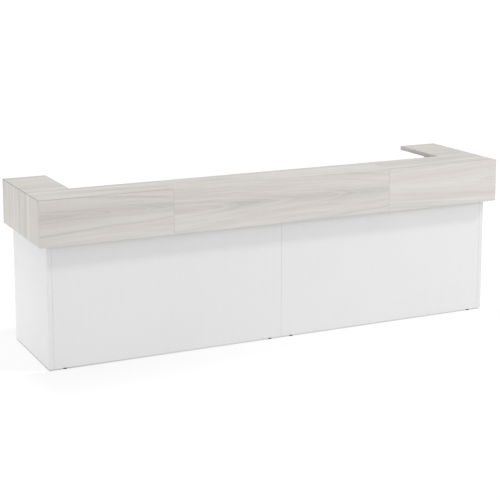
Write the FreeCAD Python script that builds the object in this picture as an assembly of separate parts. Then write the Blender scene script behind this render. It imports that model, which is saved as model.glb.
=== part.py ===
import FreeCAD, Part
import os
import math
from FreeCAD import Vector

# ---------------------------------------------------------------------------
# U-shaped reception / shop counter: a white panelled base carrying a deep
# wood-grain band that is mitre-folded from the counter top down over the
# front and both ends.  Millimetres, +Z up, origin on the floor at the middle
# of the footprint.  -Y is the customer side, +Y the staff side.
# ---------------------------------------------------------------------------

# overall
W = 3360.0            # outside width of the band
D = 808.0             # outside depth, front of band to rear end of the wings
H = 1100.0            # counter surface above the floor

# wood-grain band
T_BAND = 30.0         # counter tops and fascias
BAND_H = 296.0        # height of the band seen from the front
WING_W = 293.0        # width of the returns at each end
TOP_D = 300.0         # depth of the counter top along the front
SPLIT_X = 796.0       # seams between the middle module and the corner modules
REVEAL_FRONT = 0.4    # open line at the mitre along the front arris
REVEAL_END = 1.4      # open line at the mitre along the end arris
CORNER_GAP = 0.4      # open line at the upright mitre of each corner
SEAM = 0.5            # gap between neighbouring boards at a butt seam

# white base
OVER = 60.0           # band stands this far proud of the base, front and ends
BASE_D = 740.0        # depth of the end panels
T_END = 30.0          # end panels
T_FRONT = 25.0        # front panels
FLOOR_GAP = 8.0       # boards stand this far off the floor on their feet
ARRIS = 0.8           # bevel on every edge-banded arris

# staff side
WORK_H = 740.0        # work surface above the floor
T_WORK = 25.0
WORK_D = 700.0
T_GABLE = 25.0
GABLE_D = 600.0
T_RISER = 25.0
RISER_D = 190.0
RISER_X = (-SPLIT_X, 0.0, SPLIT_X)

# spacers that hold the fascias off the base
SPACER_H = 40.0
SPACER_UP = 45.0      # the spacer sits this far above the fascia's lower edge, out of sight
CAP_UP = 2.0          # recess of the closing piece above the end fascia's lower edge
CAP_T = 24.0          # rear closing piece of each end

# levelling feet: a pad that stays on the floor and a stem that turns in it
FOOT_R = 12.5
PAD_H = 4.0
PAD_SOCKET_R, PAD_SOCKET_Z = 3.96, 1.2
COLLAR_AF, COLLAR_Z0, COLLAR_Z1 = 17.0, 4.05, 7.6
STEM_R = 3.9
STEM_TOP = 38.0
INSERT_R = 6.0
INSERT_BORE = 4.0
INSERT_L = 25.0
FOOT_HOLE_L = 42.0
FOOT_FRONT_X = (-1515.0, -80.0, 80.0, 1515.0)
FOOT_IN_FROM_END = 18.0   # centre of an end panel's foot from its outer face
FOOT_END_Y = (140.0, 720.0)
FOOT_GABLE_Y = (165.0, 625.0)

# cam fittings, dowels, screws, brackets
CAM_R, CAM_L, CAM_IN = 7.5, 17.0, 24.0
CAM_Z = (120.0, 540.0, 960.0)
BOLT_R, BOLT_IN_END = 3.5, 12.0
DOWEL_R = 4.0
DOWEL_SIDE_Z = (330.0, 750.0)
DOWEL_TOP_X = (200.0, 600.0, 1000.0, 1400.0)
DOWEL_END_Y = (120.0, 450.0, 740.0)
BR_LEG, BR_T, BR_W, BR_HOLE = 38.0, 2.5, 20.0, 25.0
SCREW_R, SCREW_L, SCREW_HEAD_R, SCREW_HEAD_H = 2.0, 16.0, 4.0, 2.2
FS_R, FS_HEAD_R, FS_HEAD_H, FS_BITE = 2.5, 5.0, 2.5, 20.0
WING_BR_Y = (390.0, 640.0)

# cable ports in the work surface
PORT_X, PORT_Y = 1190.0, 190.0
PORT_HOLE_R, PORT_TUBE_R, PORT_BORE_R = 30.0, 29.7, 27.0
PORT_FLANGE_R, PORT_FLANGE_H = 38.0, 4.0
PORT_SEAT_R, PORT_SEAT_Z = 31.4, 741.0
PORT_CAP_R, PORT_CAP_H = 31.0, 2.7

FIT = 0.1             # radial room round a fastener in its hole

# ---------------------------------------------------------------------------
# derived planes
# ---------------------------------------------------------------------------
XO = W / 2.0                      # outer face of the band ends
XB = XO - OVER                    # outer face of the end panels
XI = XB - T_END                   # inner face of the end panels
ZU = H - T_BAND                   # underside of the counter top
ZB = H - BAND_H                   # lower edge of the band


def Y(y):
    """Distance back from the band's front face to the model's Y."""
    return y - D / 2.0


YF = OVER                         # front face of the base, from the band's front
YR = OVER + T_FRONT               # rear face of the front panels
YE = OVER + BASE_D                # rear edge of the end panels

OUT = "parts"
os.makedirs(OUT, exist_ok=True)
nodes = {}


def V(x, y, z):
    return Vector(x, y, z)


def box(x0, x1, y0, y1, z0, z1):
    """Box with y given from the band's front face."""
    return Part.makeBox(x1 - x0, y1 - y0, z1 - z0, V(x0, Y(y0), z0))


def cyl(r, p, d, length):
    return Part.makeCylinder(r, length, p, d)


def chamfer(shape, pred, size=ARRIS):
    edges = [e for e in shape.Edges if pred(e)]
    if not edges:
        return shape
    made = shape.makeChamfer(size, edges)
    return made.Solids[0] if made.Solids else shape


def board(x0, x1, y0, y1, z0, z1, size=ARRIS):
    b = box(x0, x1, y0, y1, z0, z1)
    return chamfer(b, lambda e: True, size)


def prism_x(profile, x0, x1):
    """Extrude a (y, z) profile along X."""
    pts = [V(x0, Y(y), z) for y, z in profile]
    f = Part.Face(Part.makePolygon(pts + [pts[0]]))
    return f.extrude(V(x1 - x0, 0, 0))


def prism_y(profile, y0, y1):
    """Extrude an (x, z) profile along Y."""
    pts = [V(x, Y(y0), z) for x, z in profile]
    f = Part.Face(Part.makePolygon(pts + [pts[0]]))
    return f.extrude(V(0, y1 - y0, 0))


def prism_z(profile, z0, z1):
    """Extrude an (x, y) profile along Z."""
    pts = [V(x, Y(y), z0) for x, y in profile]
    f = Part.Face(Part.makePolygon(pts + [pts[0]]))
    return f.extrude(V(0, 0, z1 - z0))


def solid(shape):
    shape = shape.removeSplitter()
    if len(shape.Solids) != 1:
        raise RuntimeError("expected one solid, got %d" % len(shape.Solids))
    return shape.Solids[0]


def mirror(shape):
    return shape.mirror(V(0, 0, 0), V(1, 0, 0))


def near(a, b, tol=0.05):
    return abs(a - b) < tol


def along(e):
    """Axis letter of a straight edge parallel to a frame axis, else None."""
    d = e.Vertexes[-1].Point.sub(e.Vertexes[0].Point)
    if d.Length < 1e-6:
        return None
    d.normalize()
    for k, c in zip("xyz", (d.x, d.y, d.z)):
        if abs(abs(c) - 1) < 1e-6:
            return k
    return None


# ---------------------------------------------------------------------------
# band: counter tops
# ---------------------------------------------------------------------------
xs = SPLIT_X - SEAM / 2.0         # end of the middle module
xc = SPLIT_X + SEAM / 2.0         # start of a corner module

top_centre = prism_x([(0, H), (TOP_D, H), (TOP_D, ZU), (T_BAND, ZU)], -xs, xs)
top_centre = chamfer(
    top_centre,
    lambda e: (along(e) == "x" and near(e.CenterOfMass.y, Y(TOP_D)))
    or (along(e) == "y" and near(abs(e.CenterOfMass.x), xs) and near(e.CenterOfMass.z, H)),
)

# left corner module: L in plan, mitred under its front and outer edges
plan = [(-XO, 0), (-xc, 0), (-xc, TOP_D), (-XO + WING_W, TOP_D), (-XO + WING_W, D), (-XO, D)]
top_left = prism_z(plan, ZU, H)
front_wedge = prism_x([(-1, ZU - 1), (T_BAND + 1, ZU - 1), (-1, H + 1)], -XO - 5, -xc + 5)
end_wedge = prism_y([(-XO - 1, ZU - 1), (-XO + T_BAND + 1, ZU - 1), (-XO - 1, H + 1)], -5, D + 5)
top_left = solid(top_left.cut(front_wedge).cut(end_wedge))
top_left = chamfer(
    top_left,
    lambda e: (along(e) == "x" and near(e.CenterOfMass.y, Y(TOP_D)))
    or (along(e) == "x" and near(e.CenterOfMass.y, Y(D)) and near(e.CenterOfMass.z, H))
    or (along(e) == "y" and near(e.CenterOfMass.x, -XO + WING_W))
    or (along(e) == "y" and near(e.CenterOfMass.x, -xc) and near(e.CenterOfMass.z, H)),
)

# ---------------------------------------------------------------------------
# band: fascias
# ---------------------------------------------------------------------------
zf = H - REVEAL_FRONT
ze = H - REVEAL_END
fascia_profile = [(0, zf), (T_BAND, zf - T_BAND), (T_BAND, ZB), (0, ZB)]

fascia_centre = prism_x(fascia_profile, -xs, xs)
fascia_centre = chamfer(
    fascia_centre,
    lambda e: near(e.CenterOfMass.y, Y(0))
    and ((along(e) == "z" and near(abs(e.CenterOfMass.x), xs)) or (along(e) == "x" and near(e.CenterOfMass.z, ZB))),
)

fascia_left = prism_x(fascia_profile, -XO, -xc)
corner_cut = prism_z([(-XO - 1, -1), (-XO - 1, T_BAND + 6), (-XO + T_BAND + 6, T_BAND + 6)], ZB - 5, H + 5)
fascia_left = solid(fascia_left.cut(corner_cut))
fascia_left = chamfer(
    fascia_left,
    lambda e: near(e.CenterOfMass.y, Y(0))
    and ((along(e) == "z" and near(e.CenterOfMass.x, -xc)) or (along(e) == "x" and near(e.CenterOfMass.z, ZB))),
)

end_profile = [(-XO, ze), (-XO + T_BAND, ze - T_BAND), (-XO + T_BAND, ZB), (-XO, ZB)]
end_left = prism_y(end_profile, 0, D)
corner_room = prism_z(
    [(-XO - 1, CORNER_GAP - 1), (-XO + T_BAND + 6, T_BAND + 6 + CORNER_GAP), (-XO + T_BAND + 6, -5), (-XO - 1, -5)],
    ZB - 5,
    H + 5,
)
end_left = solid(end_left.cut(corner_room))
end_left = chamfer(
    end_left,
    lambda e: near(e.CenterOfMass.x, -XO) and along(e) == "y" and near(e.CenterOfMass.z, ZB)
    or (along(e) == "z" and near(e.CenterOfMass.y, Y(D))),
)

# ---------------------------------------------------------------------------
# band: spacers behind the fascias and the rear closing pieces
# ---------------------------------------------------------------------------
zs0, zs1 = ZB + SPACER_UP, ZB + SPACER_UP + SPACER_H
spacer_centre = board(-xs + 1, xs - 1, T_BAND, YF, zs0, zs1, 0.5)
spacer_left = board(-XO + T_BAND, -xc - 1, T_BAND, YF, zs0, zs1, 0.5)
spacer_end_left = board(-XO + T_BAND, -XB, YF + 0.4, YE - CAP_T - 0.3, zs0, zs1, 0.5)
cap_left = board(-XO + T_BAND, -XB, YE - CAP_T, YE, ZB + CAP_UP, ZU, 0.5)

# ---------------------------------------------------------------------------
# base: front panels, end panels, gable, work surfaces, risers
# ---------------------------------------------------------------------------
front_left = board(-XI + 0.3, -SEAM / 2.0, YF, YR, FLOOR_GAP, ZU)
end_panel_left = board(-XB, -XI, YF, YE, FLOOR_GAP, ZU)
gable = board(-T_GABLE / 2, T_GABLE / 2, YR, YR + GABLE_D, FLOOR_GAP, WORK_H - T_WORK)
work_left = board(-XI + 0.3, -SEAM / 2.0, YR, YR + WORK_D, WORK_H - T_WORK, WORK_H)
risers = [board(x - T_RISER / 2, x + T_RISER / 2, YR, YR + RISER_D, WORK_H, ZU) for x in RISER_X]

nodes["counter_top_left"] = [top_left]
nodes["counter_top_centre"] = [top_centre]
nodes["counter_top_right"] = [mirror(top_left)]
nodes["front_fascia_left"] = [fascia_left]
nodes["front_fascia_centre"] = [fascia_centre]
nodes["front_fascia_right"] = [mirror(fascia_left)]
nodes["end_fascia_left"] = [end_left]
nodes["end_fascia_right"] = [mirror(end_left)]
nodes["fascia_spacer_left"] = [spacer_left]
nodes["fascia_spacer_centre"] = [spacer_centre]
nodes["fascia_spacer_right"] = [mirror(spacer_left)]
nodes["end_spacer_left"] = [spacer_end_left]
nodes["end_spacer_right"] = [mirror(spacer_end_left)]
nodes["end_cap_left"] = [cap_left]
nodes["end_cap_right"] = [mirror(cap_left)]
nodes["front_panel_left"] = [front_left]
nodes["front_panel_right"] = [mirror(front_left)]
nodes["end_panel_left"] = [end_panel_left]
nodes["end_panel_right"] = [mirror(end_panel_left)]
nodes["centre_gable"] = [gable]
nodes["worktop_left"] = [work_left]
nodes["worktop_right"] = [mirror(work_left)]
nodes["riser_left"] = [risers[0]]
nodes["riser_centre"] = [risers[1]]
nodes["riser_right"] = [risers[2]]

# holes to drill, per node: list of cutting solids
holes = {}


def drill(node, *tools):
    holes.setdefault(node, []).extend(tools)


def side(name, sx):
    return name + ("_left" if sx < 0 else "_right")


def top_at(x):
    if abs(x) < SPLIT_X:
        return "counter_top_centre"
    return "counter_top_left" if x < 0 else "counter_top_right"


def work_at(x):
    return "worktop_left" if x < 0 else "worktop_right"


# ---------------------------------------------------------------------------
# cam fittings and dowels between each front panel and its end panel
# ---------------------------------------------------------------------------
cams, bolts, caps, dowels = [], [], [], []
ym = YF + T_FRONT / 2.0           # mid-thickness of the front panels
for sx in (-1, 1):
    inx = V(-sx, 0, 0)            # from the end panel towards the middle
    fp, ep = side("front_panel", sx), side("end_panel", sx)
    for z in CAM_Z:
        cx = sx * (XI - CAM_IN)
        mouth = V(cx, Y(YR), z)
        bolt_start = V(sx * (XI + BOLT_IN_END), Y(ym), z)
        bolt_len = CAM_IN + BOLT_IN_END
        bolt_way = cyl(BOLT_R + FIT, bolt_start, inx, bolt_len + 0.2)
        drill(fp, cyl(CAM_R + FIT, mouth, V(0, -1, 0), CAM_L + FIT), bolt_way)
        drill(ep, bolt_way)
        cam = cyl(CAM_R, V(cx, Y(YR) - CAM_L, z), V(0, 1, 0), CAM_L)
        slot_a = Part.makeBox(9.0, 2.2, 1.6, V(cx - 4.5, Y(YR) - 2.2, z - 0.8))
        slot_b = Part.makeBox(1.6, 2.2, 9.0, V(cx - 0.8, Y(YR) - 2.2, z - 4.5))
        cams.append(solid(cam.cut(bolt_way).cut(slot_a).cut(slot_b)))
        bolts.append(cyl(BOLT_R, bolt_start, inx, bolt_len))
        cap = cyl(9.0, mouth, V(0, 1, 0), 1.4)
        cap = chamfer(cap, lambda e: e.CenterOfMass.y > Y(YR) + 1.0 and e.Length > 20, 0.6)
        caps.append(cap)
    for z in DOWEL_SIDE_Z:
        way = cyl(DOWEL_R + FIT, V(sx * (XI + 12.5), Y(ym), z), inx, 12.5 + 22.5)
        drill(fp, way)
        drill(ep, way)
        dowels.append(cyl(DOWEL_R, V(sx * (XI + 12.0), Y(ym), z), inx, 34.0))

# dowels standing in the top edges, entering the counter tops from below
for sx in (-1, 1):
    for x in DOWEL_TOP_X:
        x = sx * x
        way = cyl(DOWEL_R + FIT, V(x, Y(ym), ZU - 20.5), V(0, 0, 1), 20.5 + 14.5)
        drill(side("front_panel", sx), way)
        drill(top_at(x), way)
        dowels.append(cyl(DOWEL_R, V(x, Y(ym), ZU - 20.0), V(0, 0, 1), 34.0))
    for y in DOWEL_END_Y:
        x = sx * (XI + T_END / 2.0)
        way = cyl(DOWEL_R + FIT, V(x, Y(y), ZU - 20.5), V(0, 0, 1), 20.5 + 14.5)
        drill(side("end_panel", sx), way)
        drill(side("counter_top", sx), way)
        dowels.append(cyl(DOWEL_R, V(x, Y(y), ZU - 20.0), V(0, 0, 1), 34.0))

# ---------------------------------------------------------------------------
# angle brackets in the inside corners, each with two pan-head screws
# ---------------------------------------------------------------------------
brackets, screws = [], []


def bar(origin, a, la, b, lb, w, half):
    """Block from origin along a and b, centred along w."""
    p0 = origin - w * half
    pts = [p0, p0 + a * la, p0 + a * la + b * lb, p0 + b * lb]
    f = Part.Face(Part.makePolygon(pts + [pts[0]]))
    return f.extrude(w * (2 * half))


def screw_at(p, d, node):
    """Pan-head screw: p on the bracket's outer face, d into the board."""
    head = cyl(SCREW_HEAD_R, p - d * SCREW_HEAD_H, d, SCREW_HEAD_H)
    rim = [e for e in head.Edges if e.Length > 20 and e.CenterOfMass.sub(p - d * SCREW_HEAD_H).Length < 0.01]
    head = head.makeChamfer(0.9, rim)
    shank = cyl(SCREW_R, p, d, SCREW_L)
    cross = bar(p - d * (SCREW_HEAD_H + 0.1), d, 1.3, V(d.y, d.z, d.x), 2.0, V(d.z, d.x, d.y), 0.45)
    cross2 = bar(p - d * (SCREW_HEAD_H + 0.1), d, 1.3, V(-d.y, -d.z, -d.x), 2.0, V(d.z, d.x, d.y), 0.45)
    cross3 = bar(p - d * (SCREW_HEAD_H + 0.1), d, 1.3, V(d.z, d.x, d.y), 2.0, V(d.y, d.z, d.x), 0.45)
    cross4 = bar(p - d * (SCREW_HEAD_H + 0.1), d, 1.3, V(-d.z, -d.x, -d.y), 2.0, V(d.y, d.z, d.x), 0.45)
    one = head.fuse(shank)
    for c in (cross, cross2, cross3, cross4):
        one = one.cut(c)
    screws.append(solid(one))
    drill(node, cyl(SCREW_R + FIT, p, d, SCREW_L + 0.5))


def bracket(corner, n1, node1, n2, node2):
    """Angle in the corner of two boards whose faces look along n1 and n2."""
    w = n1.cross(n2)
    leg1 = bar(corner, n2, BR_LEG, n1, BR_T, w, BR_W / 2)
    leg2 = bar(corner, n1, BR_LEG, n2, BR_T, w, BR_W / 2)
    one = solid(leg1.fuse(leg2))
    p1 = corner + n2 * BR_HOLE + n1 * BR_T
    p2 = corner + n1 * BR_HOLE + n2 * BR_T
    one = one.cut(cyl(SCREW_R + 0.3, p1 + n1 * 1, n1 * -1, BR_T + 2))
    one = one.cut(cyl(SCREW_R + 0.3, p2 + n2 * 1, n2 * -1, BR_T + 2))
    brackets.append(solid(one))
    screw_at(p1, n1 * -1, node1)
    screw_at(p2, n2 * -1, node2)


UX, UY, UZ = V(1, 0, 0), V(0, 1, 0), V(0, 0, 1)
zw = WORK_H - T_WORK
for sx in (-1, 1):
    nx = UX * sx                                  # face of the gable or riser on this side
    fp, ep, wt = side("front_panel", sx), side("end_panel", sx), side("worktop", sx)
    for z in (150.0, 560.0):                      # gable to the two front panels
        bracket(V(sx * T_GABLE / 2, Y(YR), z), UY, fp, nx, "centre_gable")
    for x in (400.0, 1000.0):                     # work surface to the front panel
        bracket(V(sx * x, Y(YR), zw), UY, fp, UZ * -1, wt)
    for y in (300.0, 640.0):                      # work surface to the end panel and the gable
        bracket(V(sx * XI, Y(y), zw), nx * -1, ep, UZ * -1, wt)
        bracket(V(sx * T_GABLE / 2, Y(y), zw), nx, "centre_gable", UZ * -1, wt)
    for x in (400.0, 1100.0, 1420.0):             # counter tops to the front panel
        bracket(V(sx * x, Y(YR), ZU), UY, fp, UZ * -1, top_at(sx * x))
    for y in WING_BR_Y:                           # returns of the counter top to the end panel
        bracket(V(sx * XI, Y(y), ZU), nx * -1, ep, UZ * -1, side("counter_top", sx))
    # risers to the work surface and to the counter tops
    rz = side("riser", sx)
    bracket(V(sx * (SPLIT_X - T_RISER / 2), Y(200), WORK_H), nx * -1, rz, UZ, wt)
    bracket(V(sx * (SPLIT_X - T_RISER / 2), Y(200), ZU), nx * -1, rz, UZ * -1, "counter_top_centre")
    bracket(V(sx * (SPLIT_X + T_RISER / 2), Y(200), ZU), nx, rz, UZ * -1, side("counter_top", sx))
    bracket(V(sx * T_RISER / 2, Y(200 + 30 * sx), WORK_H), nx, "riser_centre", UZ, wt)
    bracket(V(sx * T_RISER / 2, Y(200 + 30 * sx), ZU), nx, "riser_centre", UZ * -1, "counter_top_centre")

# ---------------------------------------------------------------------------
# long screws from inside, through base panel and spacer into the fascia
# ---------------------------------------------------------------------------
fascia_screws = []


def fascia_screw(p, d, through, spacer, fascia, thick):
    length = thick + OVER - T_BAND + FS_BITE
    head = cyl(FS_HEAD_R, p - d * FS_HEAD_H, d, FS_HEAD_H)
    rim = [e for e in head.Edges if e.Length > 25 and e.CenterOfMass.sub(p - d * FS_HEAD_H).Length < 0.01]
    head = head.makeChamfer(1.0, rim)
    one = head.fuse(cyl(FS_R, p, d, length))
    a, b = (V(0, 0, 1), V(1, 0, 0)) if abs(d.y) > 0.5 else (V(0, 0, 1), V(0, 1, 0))
    for u, w in ((a, b), (b, a)):
        one = one.cut(bar(p - d * (FS_HEAD_H + 0.1) - u * 2.6, d, 1.5, u, 5.2, w, 0.55))
    fascia_screws.append(solid(one))
    way = cyl(FS_R + FIT, p, d, length + 0.5)
    for n in (through, spacer, fascia):
        drill(n, way)


zm = (zs0 + zs1) / 2.0
for sx in (-1, 1):
    fp, ep = side("front_panel", sx), side("end_panel", sx)
    for x in (250.0, 650.0):
        fascia_screw(V(sx * x, Y(YR), zm), V(0, -1, 0), fp, "fascia_spacer_centre", "front_fascia_centre", T_FRONT)
    for x in (950.0, 1450.0):
        fascia_screw(V(sx * x, Y(YR), zm), V(0, -1, 0), fp, side("fascia_spacer", sx), side("front_fascia", sx), T_FRONT)
    for y in (180.0, 470.0, 740.0):
        fascia_screw(V(sx * XI, Y(y), zm), V(sx, 0, 0), ep, side("end_spacer", sx), side("end_fascia", sx), T_END)

# ---------------------------------------------------------------------------
# levelling feet in threaded inserts let into the lower edges
# ---------------------------------------------------------------------------
inserts = []
feet = []
for i, x in enumerate(FOOT_FRONT_X):
    feet.append(("foot_front_%d" % (i + 1), x, ym, "front_panel_left" if x < 0 else "front_panel_right"))
for sx in (-1, 1):
    for y, word in zip(FOOT_END_Y, ("front", "rear")):
        feet.append(("foot_end_%s_%s" % ("left" if sx < 0 else "right", word), sx * (XB - FOOT_IN_FROM_END), y, side("end_panel", sx)))
for y, word in zip(FOOT_GABLE_Y, ("front", "rear")):
    feet.append(("foot_gable_%s" % word, 0.0, y, "centre_gable"))

for name, x, y, carrier in feet:
    base = V(x, Y(y), 0)
    drill(carrier, cyl(INSERT_R + FIT, V(x, Y(y), FLOOR_GAP - 1), UZ, FOOT_HOLE_L + 1))
    tube = cyl(INSERT_R, V(x, Y(y), FLOOR_GAP + 0.4), UZ, INSERT_L).cut(cyl(INSERT_BORE, V(x, Y(y), FLOOR_GAP - 1), UZ, INSERT_L + 5))
    inserts.append(solid(tube))
    # pad with a rounded tread and a socket that the stem's tip turns in
    prof = [(0, 0), (FOOT_R - 1.6, 0), (FOOT_R - 0.5, 0.6), (FOOT_R, 1.6), (FOOT_R, PAD_H - 0.9), (FOOT_R - 0.9, PAD_H), (0, PAD_H)]
    pts = [V(x + r, Y(y), z) for r, z in prof]
    pad = Part.Face(Part.makePolygon(pts + [pts[0]])).revolve(base, UZ, 360)
    pad = solid(pad.cut(cyl(PAD_SOCKET_R, V(x, Y(y), PAD_SOCKET_Z), UZ, 10)))
    # stem: tip, hexagonal collar for a flat spanner, threaded shank
    ra = COLLAR_AF / math.sqrt(3.0)
    hexa = [V(x + ra * math.cos(math.radians(60 * k)), Y(y) + ra * math.sin(math.radians(60 * k)), COLLAR_Z0) for k in range(6)]
    collar = Part.Face(Part.makePolygon(hexa + [hexa[0]])).extrude(V(0, 0, COLLAR_Z1 - COLLAR_Z0))
    shank = cyl(STEM_R, V(x, Y(y), PAD_SOCKET_Z + 0.1), UZ, STEM_TOP - PAD_SOCKET_Z - 0.1)
    shank = shank.makeChamfer(1.0, [e for e in shank.Edges if e.CenterOfMass.z > STEM_TOP - 0.01 and e.Length > 10])
    nodes[name + "_pad"] = [pad]
    nodes[name + "_stem"] = [solid(shank.fuse(collar))]

# ---------------------------------------------------------------------------
# cable ports: flanged sleeve in the work surface and a turning cap with a notch
# ---------------------------------------------------------------------------
for sx in (-1, 1):
    x = sx * PORT_X
    c = lambda z: V(x, Y(PORT_Y), z)
    drill(side("worktop", sx), cyl(PORT_HOLE_R, c(zw - 1), UZ, T_WORK + 2))
    z0, z1 = zw + 2.0, WORK_H + PORT_FLANGE_H
    sleeve = cyl(PORT_TUBE_R, c(z0), UZ, WORK_H - z0 + 1).fuse(cyl(PORT_FLANGE_R, c(WORK_H), UZ, PORT_FLANGE_H))
    sleeve = sleeve.cut(cyl(PORT_BORE_R, c(z0 - 1), UZ, z1 - z0 + 2)).cut(cyl(PORT_SEAT_R, c(PORT_SEAT_Z), UZ, 10))
    sleeve = solid(sleeve)
    sleeve = chamfer(sleeve, lambda e: near(e.CenterOfMass.z, z1) and e.Length > 2 * math.pi * (PORT_FLANGE_R - 0.5), 1.6)
    cap = cyl(PORT_CAP_R, c(PORT_SEAT_Z + 0.1), UZ, PORT_CAP_H)
    notch = Part.makeBox(20.0, 19.0, 10.0, V(x - 10.0, Y(PORT_Y) - 33.0, PORT_SEAT_Z - 2))
    notch = notch.fuse(cyl(10.0, V(x, Y(PORT_Y) - 14.0, PORT_SEAT_Z - 2), UZ, 10.0))
    cap = solid(cap.cut(notch))
    dish = cyl(9.0, c(PORT_SEAT_Z + 0.1 + PORT_CAP_H - 0.8), UZ, 3.0)
    dish.translate(V(0, 14.0, 0))
    cap = solid(cap.cut(dish))
    nodes[side("cable_port_sleeve", sx)] = [sleeve]
    nodes[side("cable_port_cap", sx)] = [cap]

# ---------------------------------------------------------------------------
# drill the boards and write every node
# ---------------------------------------------------------------------------
for name, tools in holes.items():
    shape = nodes[name][0]
    shape = shape.cut(tools)
    if len(shape.Solids) != 1:
        raise RuntimeError("%s: %d solids after drilling" % (name, len(shape.Solids)))
    nodes[name] = [shape.Solids[0]]

nodes["cam_housings"] = cams
nodes["cam_bolts"] = bolts
nodes["cam_cover_caps"] = [c.Solids[0] for c in caps]
nodes["dowels"] = dowels
nodes["angle_brackets"] = brackets
nodes["bracket_screws"] = screws
nodes["fascia_screws"] = fascia_screws
nodes["foot_inserts"] = inserts

for old in os.listdir(OUT):
    if old.endswith(".step") and old[:-5] not in nodes:
        os.remove(os.path.join(OUT, old))
total = 0.0
for name, solids in sorted(nodes.items()):
    for s in solids:
        if not s.isValid() or s.Volume <= 0:
            raise RuntimeError("bad solid in " + name)
    shape = solids[0] if len(solids) == 1 else Part.makeCompound(solids)
    shape.exportStep(os.path.join(OUT, name + ".step"))
    vol = sum(s.Volume for s in solids)
    total += vol
    print("%-24s %3d solids %12.0f mm3" % (name, len(solids), vol))
print(len(nodes), "nodes, %.4f m3" % (total / 1e9))
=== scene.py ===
import bpy
import bmesh
import math
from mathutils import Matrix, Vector

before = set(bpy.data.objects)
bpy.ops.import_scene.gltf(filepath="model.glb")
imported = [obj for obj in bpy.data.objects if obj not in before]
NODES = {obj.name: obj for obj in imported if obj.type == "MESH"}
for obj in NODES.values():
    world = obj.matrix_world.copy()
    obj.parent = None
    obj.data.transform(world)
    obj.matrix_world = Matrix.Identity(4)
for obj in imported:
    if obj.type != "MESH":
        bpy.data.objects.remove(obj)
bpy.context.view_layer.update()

# ---------------------------------------------------------------- dimensions
W, D, H = 3.360, 0.808, 1.100          # the counter's outside size, metres
YF = -D / 2                            # front face of the band
XO = W / 2


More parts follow.
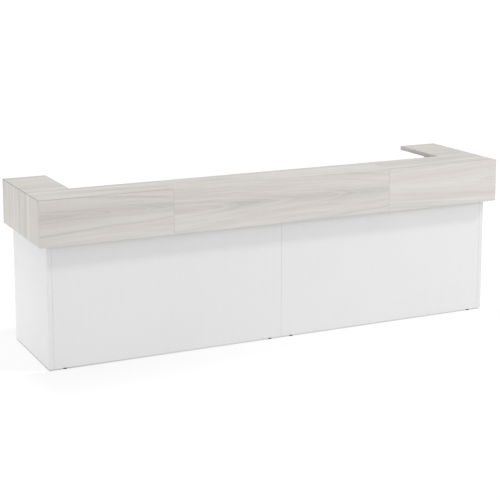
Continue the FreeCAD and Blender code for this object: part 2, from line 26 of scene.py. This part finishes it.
# ------------------------------------------------------------- node helpers
class Tree:
    """Small helper that writes a material's nodes."""

    def __init__(self, name):
        self.mat = bpy.data.materials.new(name)
        self.mat.use_nodes = True
        self.nt = self.mat.node_tree
        self.nt.nodes.clear()
        self.out = self.nt.nodes.new("ShaderNodeOutputMaterial")
        self.bsdf = self.nt.nodes.new("ShaderNodeBsdfPrincipled")
        self.nt.links.new(self.bsdf.outputs[0], self.out.inputs[0])
        self._tc = None

    def link(self, a, b):
        self.nt.links.new(a, b)

    def put(self, sock, v):
        if isinstance(v, (int, float)):
            sock.default_value = v
        elif isinstance(v, (tuple, list)):
            sock.default_value = v
        else:
            self.link(v, sock)

    def coord(self):
        if self._tc is None:
            self._tc = self.nt.nodes.new("ShaderNodeTexCoord")
        return self._tc

    def xyz(self):
        s = self.nt.nodes.new("ShaderNodeSeparateXYZ")
        self.link(self.coord().outputs["Object"], s.inputs[0])
        return s.outputs[0], s.outputs[1], s.outputs[2]

    def normal(self):
        s = self.nt.nodes.new("ShaderNodeSeparateXYZ")
        self.link(self.coord().outputs["Normal"], s.inputs[0])
        return s.outputs[0], s.outputs[1], s.outputs[2]

    def m(self, op, a, b=None, c=None, clamp=False):
        n = self.nt.nodes.new("ShaderNodeMath")
        n.operation = op
        n.use_clamp = clamp
        self.put(n.inputs[0], a)
        if b is not None:
            self.put(n.inputs[1], b)
        if c is not None:
            self.put(n.inputs[2], c)
        return n.outputs[0]

    def add(self, a, b):
        return self.m("ADD", a, b)

    def sub(self, a, b):
        return self.m("SUBTRACT", a, b)

    def mul(self, a, b):
        return self.m("MULTIPLY", a, b)

    def mad(self, a, k, o):
        return self.m("MULTIPLY_ADD", a, k, o)

    def vec(self, x, y, z):
        n = self.nt.nodes.new("ShaderNodeCombineXYZ")
        for s, v in zip(n.inputs, (x, y, z)):
            self.put(s, v)
        return n.outputs[0]

    def noise(self, vec=None, w=None, scale=1.0, detail=2.0, rough=0.5, lac=2.0, dist=0.0):
        n = self.nt.nodes.new("ShaderNodeTexNoise")
        n.normalize = True
        if w is not None and vec is None:
            n.noise_dimensions = "1D"
            self.put(n.inputs["W"], w)
        else:
            n.noise_dimensions = "3D"
            self.put(n.inputs["Vector"], vec)
        n.inputs["Scale"].default_value = scale
        n.inputs["Detail"].default_value = detail
        n.inputs["Roughness"].default_value = rough
        n.inputs["Lacunarity"].default_value = lac
        n.inputs["Distortion"].default_value = dist
        return n.outputs[0]

    def voronoi(self, vec, scale, feature="F1"):
        n = self.nt.nodes.new("ShaderNodeTexVoronoi")
        n.feature = feature
        self.put(n.inputs["Vector"], vec)
        n.inputs["Scale"].default_value = scale
        return n.outputs["Distance"]

    def ramp(self, fac, stops, interp="LINEAR"):
        n = self.nt.nodes.new("ShaderNodeValToRGB")
        r = n.color_ramp
        r.interpolation = interp
        while len(r.elements) > 1:
            r.elements.remove(r.elements[-1])
        r.elements[0].position = stops[0][0]
        r.elements[0].color = (*stops[0][1], 1)
        for p, col in stops[1:]:
            e = r.elements.new(p)
            e.color = (*col, 1)
        self.put(n.inputs[0], fac)
        return n.outputs[0]

    def range(self, v, a, b, c=0.0, d=1.0, smooth=False):
        n = self.nt.nodes.new("ShaderNodeMapRange")
        n.interpolation_type = "SMOOTHSTEP" if smooth else "LINEAR"
        self.put(n.inputs["Value"], v)
        n.inputs["From Min"].default_value = a
        n.inputs["From Max"].default_value = b
        n.inputs["To Min"].default_value = c
        n.inputs["To Max"].default_value = d
        return n.outputs[0]

    def mixf(self, f, a, b):
        n = self.nt.nodes.new("ShaderNodeMix")
        n.data_type = "FLOAT"
        self.put(n.inputs[0], f)
        self.put(n.inputs[2], a)
        self.put(n.inputs[3], b)
        return n.outputs[0]

    def mixc(self, f, a, b, blend="MIX"):
        n = self.nt.nodes.new("ShaderNodeMix")
        n.data_type = "RGBA"
        n.blend_type = blend
        self.put(n.inputs[0], f)
        self.put(n.inputs[6], (*a, 1) if isinstance(a, tuple) else a)
        self.put(n.inputs[7], (*b, 1) if isinstance(b, tuple) else b)
        return n.outputs[2]

    def bump(self, height, strength, distance):
        n = self.nt.nodes.new("ShaderNodeBump")
        n.inputs["Strength"].default_value = strength
        n.inputs["Distance"].default_value = distance
        self.link(height, n.inputs["Height"])
        self.link(n.outputs[0], self.bsdf.inputs["Normal"])

    def color(self, c):
        self.link(c, self.bsdf.inputs["Base Color"])

    def rough(self, r):
        self.put(self.bsdf.inputs["Roughness"], r)

    def set(self, **kw):
        for k, v in kw.items():
            self.bsdf.inputs[k.replace("_", " ")].default_value = v


# ------------------------------------------------------------------- wood
def wood(name, run="x", fold=0.0, og=0.0, oc=0.0, g0=0.0, c0=-0.14, taper=0.083, heart=0.0, seed=0.0, shade=0.87, gain=1.0, painted_shade_line=None):
    """Whitewashed wood-grain decor.  run: the way the grain runs, 'x' or 'z'.
    fold: +1 or -1 carries the grain over the end arris and down the end.
    og, oc: where this panel was cut from the sheet.  g0, c0: the place of its
    cathedral figure.  taper: how fast the figure opens.  heart: how much darker
    the middle of the figure is.  gain: contrast of the grain.  painted_shade_line: (height, width,
    depth) of a dark stripe painted along the upper arris as painted shade of the joint's gap."""
    t = Tree(name)
    x, y, z = t.xyz()
    nx, ny, nz = t.normal()
    drop = t.sub(H, z)
    if run == "x":
        g = x
        c = t.sub(t.sub(y, YF), drop)
        # edge bands across the grain: the band's own grain follows the edge
        cross = t.m("GREATER_THAN", t.m("ABSOLUTE", nx), 0.6)
        g = t.mixf(cross, g, t.add(y, 3.1))
        c = t.mixf(cross, c, t.mad(z, 1.0, 2.7))
    else:
        g = t.mad(drop, -fold, x) if fold else z
        c = t.sub(y, YF)
        cross = t.m("GREATER_THAN", t.m("ABSOLUTE", ny), 0.6)
        c = t.mixf(cross, c, t.mad(x, 1.0, 2.7))
    g = t.add(g, og)
    c = t.add(c, oc)
    # slow wander of the grain, then a finer ripple
    wander = t.noise(t.vec(t.mul(g, 0.8), t.mul(c, 1.8), seed), detail=2.0, rough=0.45)
    ripple = t.noise(t.vec(t.mul(g, 4.5), t.mul(c, 11.0), seed + 4.0), detail=3.0, rough=0.55)
    cw = t.add(c, t.add(t.mad(wander, 0.085, -0.0425), t.mad(ripple, 0.014, -0.007)))
    # flat-sawn figure: rings cut along a slowly dipping plane, with pointed tips
    heave = t.noise(t.vec(t.mul(g, 2.6), t.mul(c, 3.0), seed + 9.0), detail=2.0)
    h = t.m("ABSOLUTE", t.add(t.mul(t.sub(g, g0 + og), taper), t.mad(heave, 0.032, -0.016)))
    dc = t.m("ABSOLUTE", t.sub(cw, c0 + oc))
    p = 1.30
    r = t.m("POWER", t.add(t.m("POWER", t.add(dc, 0.0004), p), t.m("POWER", h, p)), 1.0 / p)
    frayed = t.noise(t.vec(t.mul(g, 7.0), t.mul(c, 55.0), seed + 15.0), detail=3.0, rough=0.6)
    r = t.add(r, t.mad(frayed, 0.008, -0.004))
    broad = t.noise(w=t.mad(r, 15.0, seed * 7.3 + 1.0), detail=2.0, rough=0.5)
    mid = t.noise(w=t.mad(r, 52.0, seed * 3.1 + 5.0), detail=2.5, rough=0.6)
    fine = t.noise(w=t.mad(r, 190.0, seed * 1.7 + 11.0), detail=2.0, rough=0.6)
    late = t.range(t.noise(w=t.mad(r, 74.0, seed * 2.3 + 31.0), detail=1.0), 0.56, 0.70, smooth=True)
    # long streaks, fibres, pores and the uneven wash
    streak = t.noise(t.vec(t.mul(g, 0.75), t.mul(cw, 20.0), seed + 2.0), detail=4.0, rough=0.62)
    fibre = t.noise(t.vec(t.mul(g, 6.0), t.mul(cw, 420.0), seed + 6.0), detail=2.0, rough=0.6)
    grain = t.noise(t.vec(t.mul(g, 2.4), t.mul(cw, 105.0), seed + 25.0), detail=2.0, rough=0.55)
    pore_n = t.noise(t.vec(t.mul(g, 28.0), t.mul(cw, 1100.0), seed + 8.0), detail=1.0)
    pore = t.range(pore_n, 0.60, 0.74, smooth=True)
    wash = t.noise(t.vec(t.mul(g, 1.1), t.mul(c, 4.5), seed + 12.0), detail=3.0)
    tone = t.mad(broad, 0.44, -0.22)
    tone = t.add(tone, t.mad(mid, 0.60, -0.30))
    tone = t.add(tone, t.mad(fine, 0.42, -0.21))
    tone = t.add(tone, t.mad(streak, 0.95, -0.475))
    tone = t.add(tone, t.mad(grain, 0.42, -0.21))
    tone = t.add(tone, t.mad(fibre, 0.28, -0.14))
    tone = t.add(tone, t.mad(wash, 0.50, -0.25))
    tone = t.sub(tone, t.mul(late, 0.11))
    if heart:
        q = t.mul(dc, 1.0 / 0.045)
        mid_band = t.m("EXPONENT", t.mul(t.mul(q, q), -1.0))
        tone = t.sub(tone, t.mul(mid_band, heart))
    tone = t.m("MULTIPLY_ADD", tone, gain, 0.55, clamp=True)
    # shade scales the whole wood colour; it is set piece by piece so each face reads as bright as under the light,
    # partly the wood's own tone, partly painted light
    s = shade
    warm = t.ramp(tone, [
        (0.00, (0.505 * s, 0.467 * s, 0.443 * s)),
        (0.30, (0.594 * s, 0.558 * s, 0.534 * s)),
        (0.55, (0.650 * s, 0.617 * s, 0.593 * s)),
        (0.80, (0.694 * s, 0.664 * s, 0.641 * s)),
        (1.00, (0.745 * s, 0.719 * s, 0.696 * s)),
    ])
    cool = t.ramp(tone, [
        (0.00, (0.505 * s, 0.478 * s, 0.440 * s)),
        (0.35, (0.605 * s, 0.581 * s, 0.545 * s)),
        (0.65, (0.666 * s, 0.645 * s, 0.610 * s)),
        (1.00, (0.745 * s, 0.727 * s, 0.694 * s)),
    ])
    tint = t.noise(t.vec(t.mul(g, 0.7), t.mul(r, 15.0), seed + 20.0), detail=2.0)
    col = t.mixc(t.range(tint, 0.40, 0.66, smooth=True), warm, cool)
    col = t.mixc(t.mul(pore, 0.20), col, (0.40 * s, 0.365 * s, 0.335 * s))
    if painted_shade_line:
        top, wide, deep = painted_shade_line
        # painted shade: a thin near-black stripe just under the upper arris stands in for the shade in the joint's gap
        col = t.mixc(t.range(z, top - wide, top - wide * 0.6, 0.0, deep, smooth=True), col, (0.16, 0.15, 0.14))
    t.color(col)
    t.rough(t.add(t.mad(fibre, 0.16, 0.42), t.mul(pore, 0.12)))
    t.set(Specular_IOR_Level=0.35)
    t.bump(t.sub(t.mul(fibre, 0.5), t.mul(pore, 0.9)), 0.22, 0.00018)
    return t.mat


# ----------------------------------------------------------- white melamine
def white_board(name, seed=0.0, level=0.668, run="z"):
    t = Tree(name)
    x, y, z = t.xyz()
    v = t.coord().outputs["Object"]
    cloud = t.noise(v, scale=1.7, detail=3.0, rough=0.5)
    haze = t.noise(t.vec(t.mul(x, 30.0), t.mul(y, 30.0), t.mul(z, 2.2)), detail=2.0)
    peel = t.noise(v, scale=760.0, detail=2.0, rough=0.55)
    speck = t.noise(v, scale=2600.0, detail=1.0)
    tone = t.add(t.mad(cloud, 0.5, 0.0), t.add(t.mul(haze, 0.25), t.mul(peel, 0.25)))
    a, b = level * 0.972, level * 1.022
    col = t.ramp(tone, [
        (0.25, (a, a * 1.000, a * 1.000)),
        (0.50, (level, level * 1.001, level * 1.001)),
        (0.75, (b, b, b * 0.999)),
    ])
    t.color(col)
    t.rough(t.add(t.mad(peel, 0.14, 0.33), t.mul(cloud, 0.08)))
    t.set(Specular_IOR_Level=0.42)
    t.bump(t.add(t.mul(peel, 0.8), t.mul(speck, 0.2)), 0.10, 0.00025)
    return t.mat


# ------------------------------------------------------------ small hardware
def plastic(name, col, rough=0.5, grain=2400.0, vary=0.10):
    t = Tree(name)
    v = t.coord().outputs["Object"]
    n = t.noise(v, scale=grain, detail=2.0)
    cl = t.noise(v, scale=60.0, detail=3.0)
    lo = tuple(c * (1 - vary) for c in col)
    hi = tuple(min(1.0, c * (1 + vary)) for c in col)
    t.color(t.ramp(t.add(t.mul(n, 0.4), t.mul(cl, 0.6)), [(0.25, lo), (0.75, hi)]))
    t.rough(t.mad(n, 0.20, rough - 0.10))
    t.set(Specular_IOR_Level=0.40)
    t.bump(n, 0.25, 0.0002)
    return t.mat


def metal(name, col, rough=0.34, metallic=1.0, brushed=(900.0, 900.0, 90.0)):
    t = Tree(name)
    x, y, z = t.xyz()
    v = t.coord().outputs["Object"]
    br = t.noise(t.vec(t.mul(x, brushed[0]), t.mul(y, brushed[1]), t.mul(z, brushed[2])), detail=3.0)
    cl = t.noise(v, scale=140.0, detail=3.0)
    lo = tuple(c * 0.86 for c in col)
    hi = tuple(min(1.0, c * 1.10) for c in col)
    t.color(t.ramp(t.add(t.mul(br, 0.5), t.mul(cl, 0.5)), [(0.30, lo), (0.70, hi)]))
    t.rough(t.mad(br, 0.22, rough - 0.10))
    t.set(Metallic=metallic)
    t.bump(br, 0.12, 0.00008)
    return t.mat


def powder_coat(name, col):
    t = Tree(name)
    v = t.coord().outputs["Object"]
    n = t.noise(v, scale=1500.0, detail=2.0, rough=0.6)
    cl = t.noise(v, scale=25.0, detail=2.0)
    lo = tuple(c * 0.93 for c in col)
    hi = tuple(min(1.0, c * 1.05) for c in col)
    t.color(t.ramp(t.add(t.mul(n, 0.5), t.mul(cl, 0.5)), [(0.30, lo), (0.70, hi)]))
    t.rough(t.mad(n, 0.2, 0.38))
    t.set(Specular_IOR_Level=0.45)
    t.bump(n, 0.25, 0.00012)
    return t.mat


def beech(name):
    t = Tree(name)
    x, y, z = t.xyz()
    n = t.noise(t.vec(t.mul(x, 260.0), t.mul(y, 700.0), t.mul(z, 260.0)), detail=3.0)
    t.color(t.ramp(n, [(0.3, (0.50, 0.36, 0.23)), (0.7, (0.68, 0.53, 0.37))]))
    t.rough(t.mad(n, 0.2, 0.55))
    t.bump(n, 0.2, 0.0001)
    return t.mat


def paint(nodes, mat):
    for n in nodes if isinstance(nodes, (list, tuple)) else [nodes]:
        o = NODES[n]
        o.data.materials.clear()
        o.data.materials.append(mat)


LEFT = dict(og=1.3, oc=0.0, g0=-1.70, c0=-0.112, taper=0.088, heart=0.30, seed=1.0)
MIDDLE = dict(og=5.2, oc=1.7, g0=-1.02, c0=-0.140, taper=0.080, heart=0.24, seed=2.0)
RIGHT = dict(og=9.7, oc=3.9, g0=3.90, c0=-0.128, taper=0.040, heart=-0.07, seed=3.0)
# the shade values differ by face (centre top lighter, left front and left end darker), partly the wood's own tone,
# partly painted light
paint(["counter_top_left"], wood("wood_top_left", "x", gain=1.55, **LEFT))
# the fascias carry a painted dark stripe under the upper arris: painted shade of the joint's gap
paint(["front_fascia_left"], wood("wood_front_left", "x", shade=0.857, gain=0.84, painted_shade_line=(H - 0.0004, 0.0022, 0.55), **LEFT))
paint(["end_fascia_left"], wood("wood_end_left", "z", fold=1.0, shade=0.862, gain=1.35, painted_shade_line=(H - 0.0014, 0.0030, 0.75), **LEFT))
paint(["counter_top_centre"], wood("wood_top_centre", "x", shade=0.895, gain=1.4, **MIDDLE))
paint(["front_fascia_centre"], wood("wood_front_centre", "x", shade=0.863, gain=0.92, **MIDDLE))
paint(["counter_top_right"], wood("wood_top_right", "x", gain=1.6, **RIGHT))
paint(["front_fascia_right"], wood("wood_front_right", "x", gain=0.74, **RIGHT))
paint(["end_fascia_right"], wood("wood_end_right", "z", fold=-1.0, gain=1.3, painted_shade_line=(H - 0.0014, 0.0030, 0.75), **RIGHT))
paint(["worktop_left"], wood("wood_desk_left", "x", og=14.0, oc=6.0, g0=-0.9, c0=0.40, taper=0.07, seed=4.0))
paint(["worktop_right"], wood("wood_desk_right", "x", og=19.0, oc=8.0, g0=0.7, c0=0.55, taper=0.07, seed=5.0))
paint(["fascia_spacer_left", "fascia_spacer_centre", "fascia_spacer_right"], wood("wood_spacer", "x", og=23.0, seed=6.0))
paint(["end_spacer_left", "end_spacer_right", "end_cap_left", "end_cap_right"], wood("wood_end_spacer", "z", og=27.0, seed=7.0))

paint(["front_panel_left", "front_panel_right"], white_board("white_front", 1.0))
paint(["end_panel_left", "end_panel_right"], white_board("white_end", 2.0))
paint(["centre_gable", "riser_left", "riser_centre", "riser_right"], white_board("white_inner", 3.0))

paint(["angle_brackets"], powder_coat("bracket_grey", (0.62, 0.62, 0.62)))
paint(["bracket_screws", "fascia_screws", "cam_bolts", "cam_housings"], metal("zinc", (0.66, 0.66, 0.65)))
paint(["foot_inserts"], metal("brass", (0.72, 0.55, 0.27), rough=0.32))
paint(["dowels"], beech("beech"))
paint(["cam_cover_caps"], plastic("cap_white", (0.78, 0.78, 0.77), rough=0.42, vary=0.03))
paint([n for n in NODES if n.startswith("cable_port_sleeve")], plastic("port_grey", (0.30, 0.30, 0.31), rough=0.46))
paint([n for n in NODES if n.startswith("cable_port_cap")], plastic("port_cap_grey", (0.33, 0.33, 0.34), rough=0.44))
paint([n for n in NODES if n.startswith("foot_") and n.endswith("_pad")], plastic("glide_black", (0.022, 0.022, 0.023), rough=0.52, vary=0.25))
paint([n for n in NODES if n.startswith("foot_") and n.endswith("_stem")], metal("stem_black", (0.035, 0.035, 0.036), rough=0.42, metallic=0.6))

# -------------------------------------------------------------------- stage
bm = bmesh.new()
bmesh.ops.create_grid(bm, x_segments=8, y_segments=8, size=150.0)
me = bpy.data.meshes.new("floor")
bm.to_mesh(me)
bm.free()
floor = bpy.data.objects.new("floor", me)
bpy.context.scene.collection.objects.link(floor)
ft = Tree("floor_pale")
fn = ft.noise(ft.coord().outputs["Object"], scale=1.3, detail=3.0)
ft.color(ft.ramp(fn, [(0.3, (0.246, 0.246, 0.246)), (0.7, (0.254, 0.254, 0.254))]))
ft.rough(ft.mad(fn, 0.1, 0.75))
ft.set(Specular_IOR_Level=0.15)
ft.bsdf.inputs["Emission Color"].default_value = (1, 1, 1, 1)
fx, fy, fz = ft.xyz()
side = ft.sub(ft.m("ABSOLUTE", fx), 1.62)              # outside the ends: above 0
ahead = ft.sub(-0.344, fy)                             # in front of the base: above 0
behind = ft.sub(fy, 0.396)                             # behind the base: above 0
edge = ft.m("MAXIMUM", side, ahead)
# painted shade: along the base's edges the floor's glow is turned down to draw the dark gap under the panels, darkest
# at the front left corner
low = ft.range(ft.add(fx, fy), -1.96, -1.10, 0.35, 0.46)
outside = ft.mixf(ft.range(ft.m("MAXIMUM", edge, ft.mul(behind, 0.2)), -0.004, 0.004, smooth=True), low, 0.755)
# painted shade: the floor's glow is turned down in a faint soft shade in front of the base, strongest at the left
shade = ft.mul(ft.range(ahead, 0.0, 1.0, 1.0, 0.0, smooth=True), ft.range(fx, -1.62, 0.6, 0.108, 0.045))
shade = ft.mul(ft.mul(shade, ft.range(fx, -2.0, -1.62, 0.0, 1.0, smooth=True)), ft.range(ahead, -0.004, 0.004, 0.0, 1.0))
outside = ft.sub(outside, shade)
# painted shade: inside the base the floor's glow dims towards the front, as the shade under a desk would
within = ft.mul(ft.range(edge, -0.10, -0.045, 1.0, 0.07, smooth=True), ft.range(fy, -0.30, 0.42, 0.34, 0.755, smooth=True))
ft.link(ft.m("MAXIMUM", outside, within), ft.bsdf.inputs["Emission Strength"])
me.materials.append(ft.mat)

world = bpy.data.worlds.new("studio")
bpy.context.scene.world = world
world.use_nodes = True
wt = world.node_tree
bg = wt.nodes["Background"]
bg.inputs[1].default_value = 1.0
wc = wt.nodes.new("ShaderNodeTexCoord")
wz = wt.nodes.new("ShaderNodeSeparateXYZ")
wt.links.new(wc.outputs["Generated"], wz.inputs[0])
wr = wt.nodes.new("ShaderNodeValToRGB")
wr.color_ramp.interpolation = "EASE"
wr.color_ramp.elements[0].position = 0.16
wr.color_ramp.elements[0].color = (1.0, 1.0, 1.0, 1)
wr.color_ramp.elements[1].position = 0.42
wr.color_ramp.elements[1].color = (0.70, 0.70, 0.70, 1)
wt.links.new(wz.outputs[2], wr.inputs[0])
wt.links.new(wr.outputs[0], bg.inputs[0])


def area(name, loc, target, size, power, sy=None):
    d = bpy.data.lights.new(name, "AREA")
    d.shape = "RECTANGLE"
    d.size = size
    d.size_y = sy or size
    d.energy = power
    o = bpy.data.objects.new(name, d)
    bpy.context.scene.collection.objects.link(o)
    o.location = loc
    o.rotation_euler = (Vector(target) - Vector(loc)).to_track_quat("-Z", "Y").to_euler()
    o.visible_camera = False
    return o


sun = bpy.data.lights.new("key", "SUN")
sun.energy = 1.38
sun.angle = math.radians(6.5)
so = bpy.data.objects.new("key", sun)
bpy.context.scene.collection.objects.link(so)
so.location = (6.00, -2.87, 7.46)
so.rotation_euler = Vector((-6.00, 2.87, -7.46)).to_track_quat("-Z", "Y").to_euler()
area("right_fill", (4.8, -4.6, 2.6), (1.3, -0.35, 0.75), 2.4, 76.0)
area("top_fill", (0.2, -0.2, 5.2), (0.2, -0.15, 1.1), 5.0, 15.0, sy=2.0)
area("left_fill", (-5.2, 2.6, 1.1), (-1.62, 0.1, 0.35), 2.0, 14.0)
area("left_low", (-2.72, 0.55, 0.10), (-1.62, 0.20, 0.05), 0.9, 3.5, sy=0.12)

# ------------------------------------------------------------------- camera
cam = bpy.data.cameras.new("camera")
cam.sensor_width = 36.0
cam.lens = 97.4523
cam.shift_x = 0.0
cam.shift_y = -0.2
cam.clip_start, cam.clip_end = 0.1, 600.0
co = bpy.data.objects.new("camera", cam)
bpy.context.scene.collection.objects.link(co)
co.location = (-4.0012, -8.1831, 2.7535)
yaw, pitch = math.radians(25.6730), math.radians(9.4938)
look = Vector((math.sin(yaw) * math.cos(pitch), math.cos(yaw) * math.cos(pitch), -math.sin(pitch)))
co.rotation_euler = look.to_track_quat("-Z", "Y").to_euler()
bpy.context.scene.camera = co

vs = bpy.context.scene.view_settings
vs.view_transform = "Standard"
vs.look = "None"
vs.exposure = 0.0
vs.gamma = 1.0
